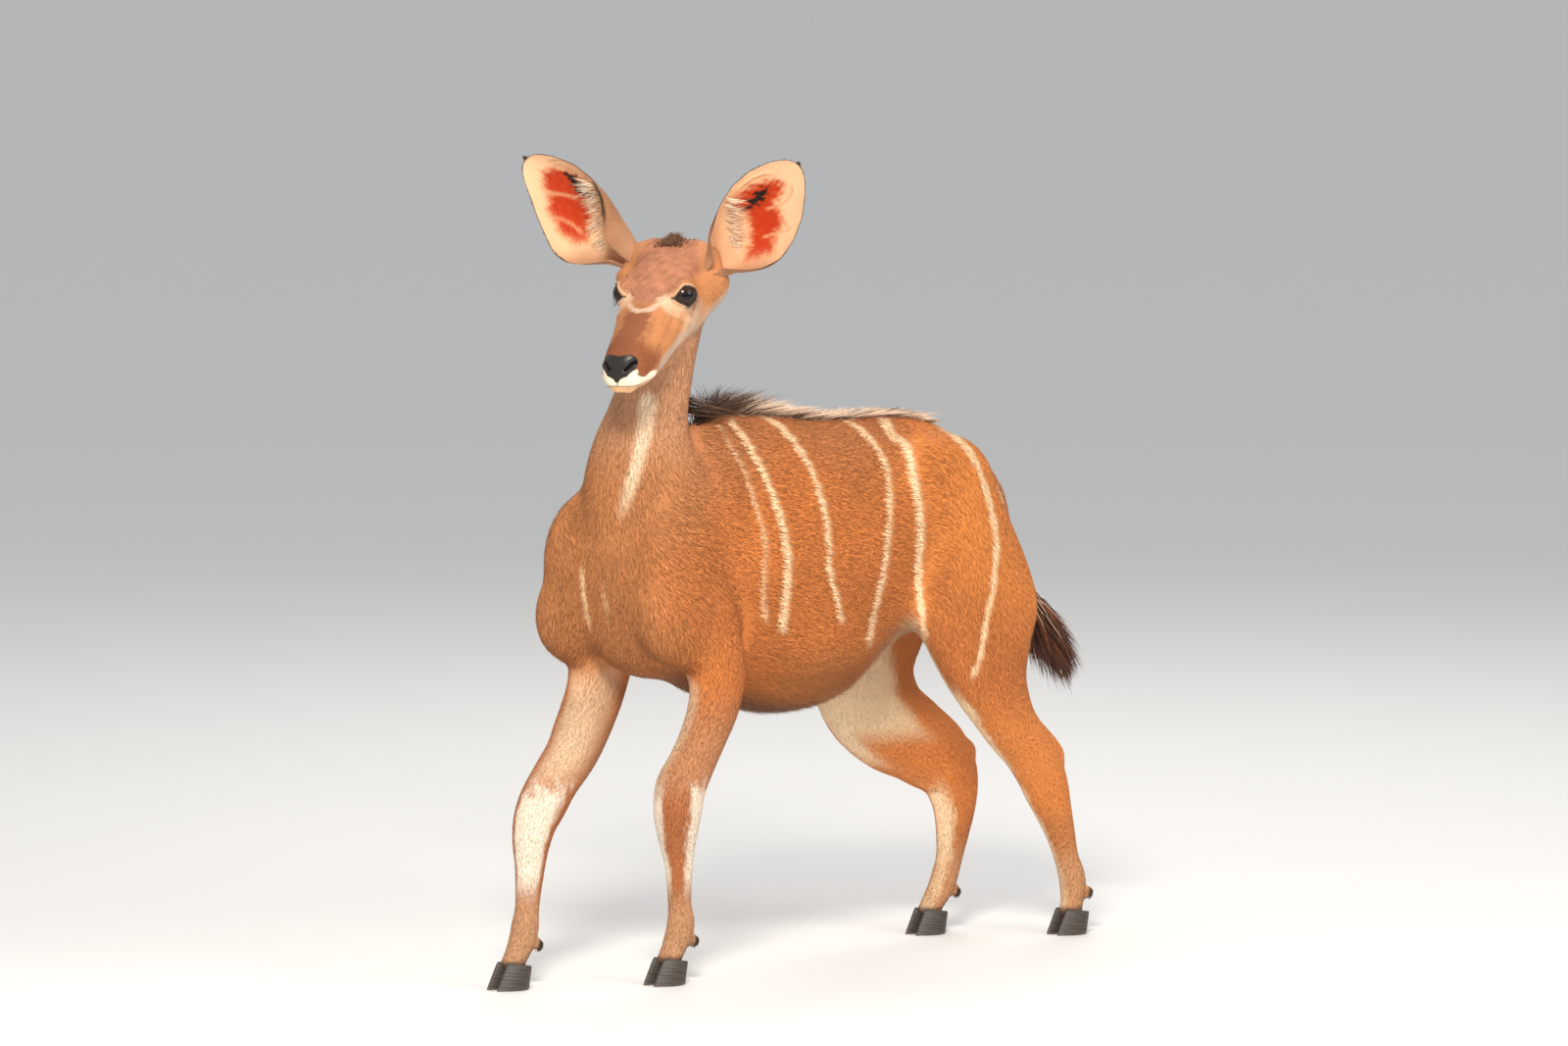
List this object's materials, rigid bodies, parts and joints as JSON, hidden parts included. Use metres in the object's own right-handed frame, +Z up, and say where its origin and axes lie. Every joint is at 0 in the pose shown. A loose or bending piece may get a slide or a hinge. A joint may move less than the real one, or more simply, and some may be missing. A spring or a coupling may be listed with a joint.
{
  "type": "kudu model",
  "caption": "Still life-size model of a young greater kudu in mid step, large cupped ears, short mane and back crest, no horns, standing on cloven hooves.",
  "frame": {"origin": "on the floor, under the middle of the model's bounding box", "axes": "+Z up; the animal looks and steps along -Y; its left side is towards +X"},
  "size_m": [0.4475, 1.2538, 1.3326],
  "materials": {
    "torso_coat": "short orange brown hair",
    "neck_coat": "short orange brown hair",
    "head_coat": "short hair",
    "tail_coat": "long hair, dark at the tip",
    "foreleg_left_coat": "short orange brown hair",
    "foreleg_right_coat": "short orange brown hair",
    "hindleg_left_coat": "short orange brown hair",
    "hindleg_right_coat": "short orange brown hair",
    "ear_left_ear": "short pale hair",
    "ear_right_ear": "short pale hair",
    "eye_left_eye": "wet, near black",
    "eye_right_eye": "wet, near black",
    "forehoof_left_inner_hoof": "dull dark horn",
    "forehoof_left_outer_hoof": "dull dark horn",
    "forehoof_right_inner_hoof": "dull dark horn",
    "forehoof_right_outer_hoof": "dull dark horn",
    "hindhoof_left_inner_hoof": "dull dark horn",
    "hindhoof_left_outer_hoof": "dull dark horn",
    "hindhoof_right_inner_hoof": "dull dark horn",
    "hindhoof_right_outer_hoof": "dull dark horn"
  },
  "bodies": {
    "root": {"torso": "torso_coat", "neck": "neck_coat", "head": "head_coat", "tail": "tail_coat", "foreleg_left": "foreleg_left_coat", "foreleg_right": "foreleg_right_coat", "hindleg_left": "hindleg_left_coat", "hindleg_right": "hindleg_right_coat", "ear_left": "ear_left_ear", "ear_right": "ear_right_ear", "eye_left": "eye_left_eye", "eye_right": "eye_right_eye", "forehoof_left_inner": "forehoof_left_inner_hoof", "forehoof_left_outer": "forehoof_left_outer_hoof", "forehoof_right_inner": "forehoof_right_inner_hoof", "forehoof_right_outer": "forehoof_right_outer_hoof", "hindhoof_left_inner": "hindhoof_left_inner_hoof", "hindhoof_left_outer": "hindhoof_left_outer_hoof", "hindhoof_right_inner": "hindhoof_right_inner_hoof", "hindhoof_right_outer": "hindhoof_right_outer_hoof"}
  },
  "joints": []
}
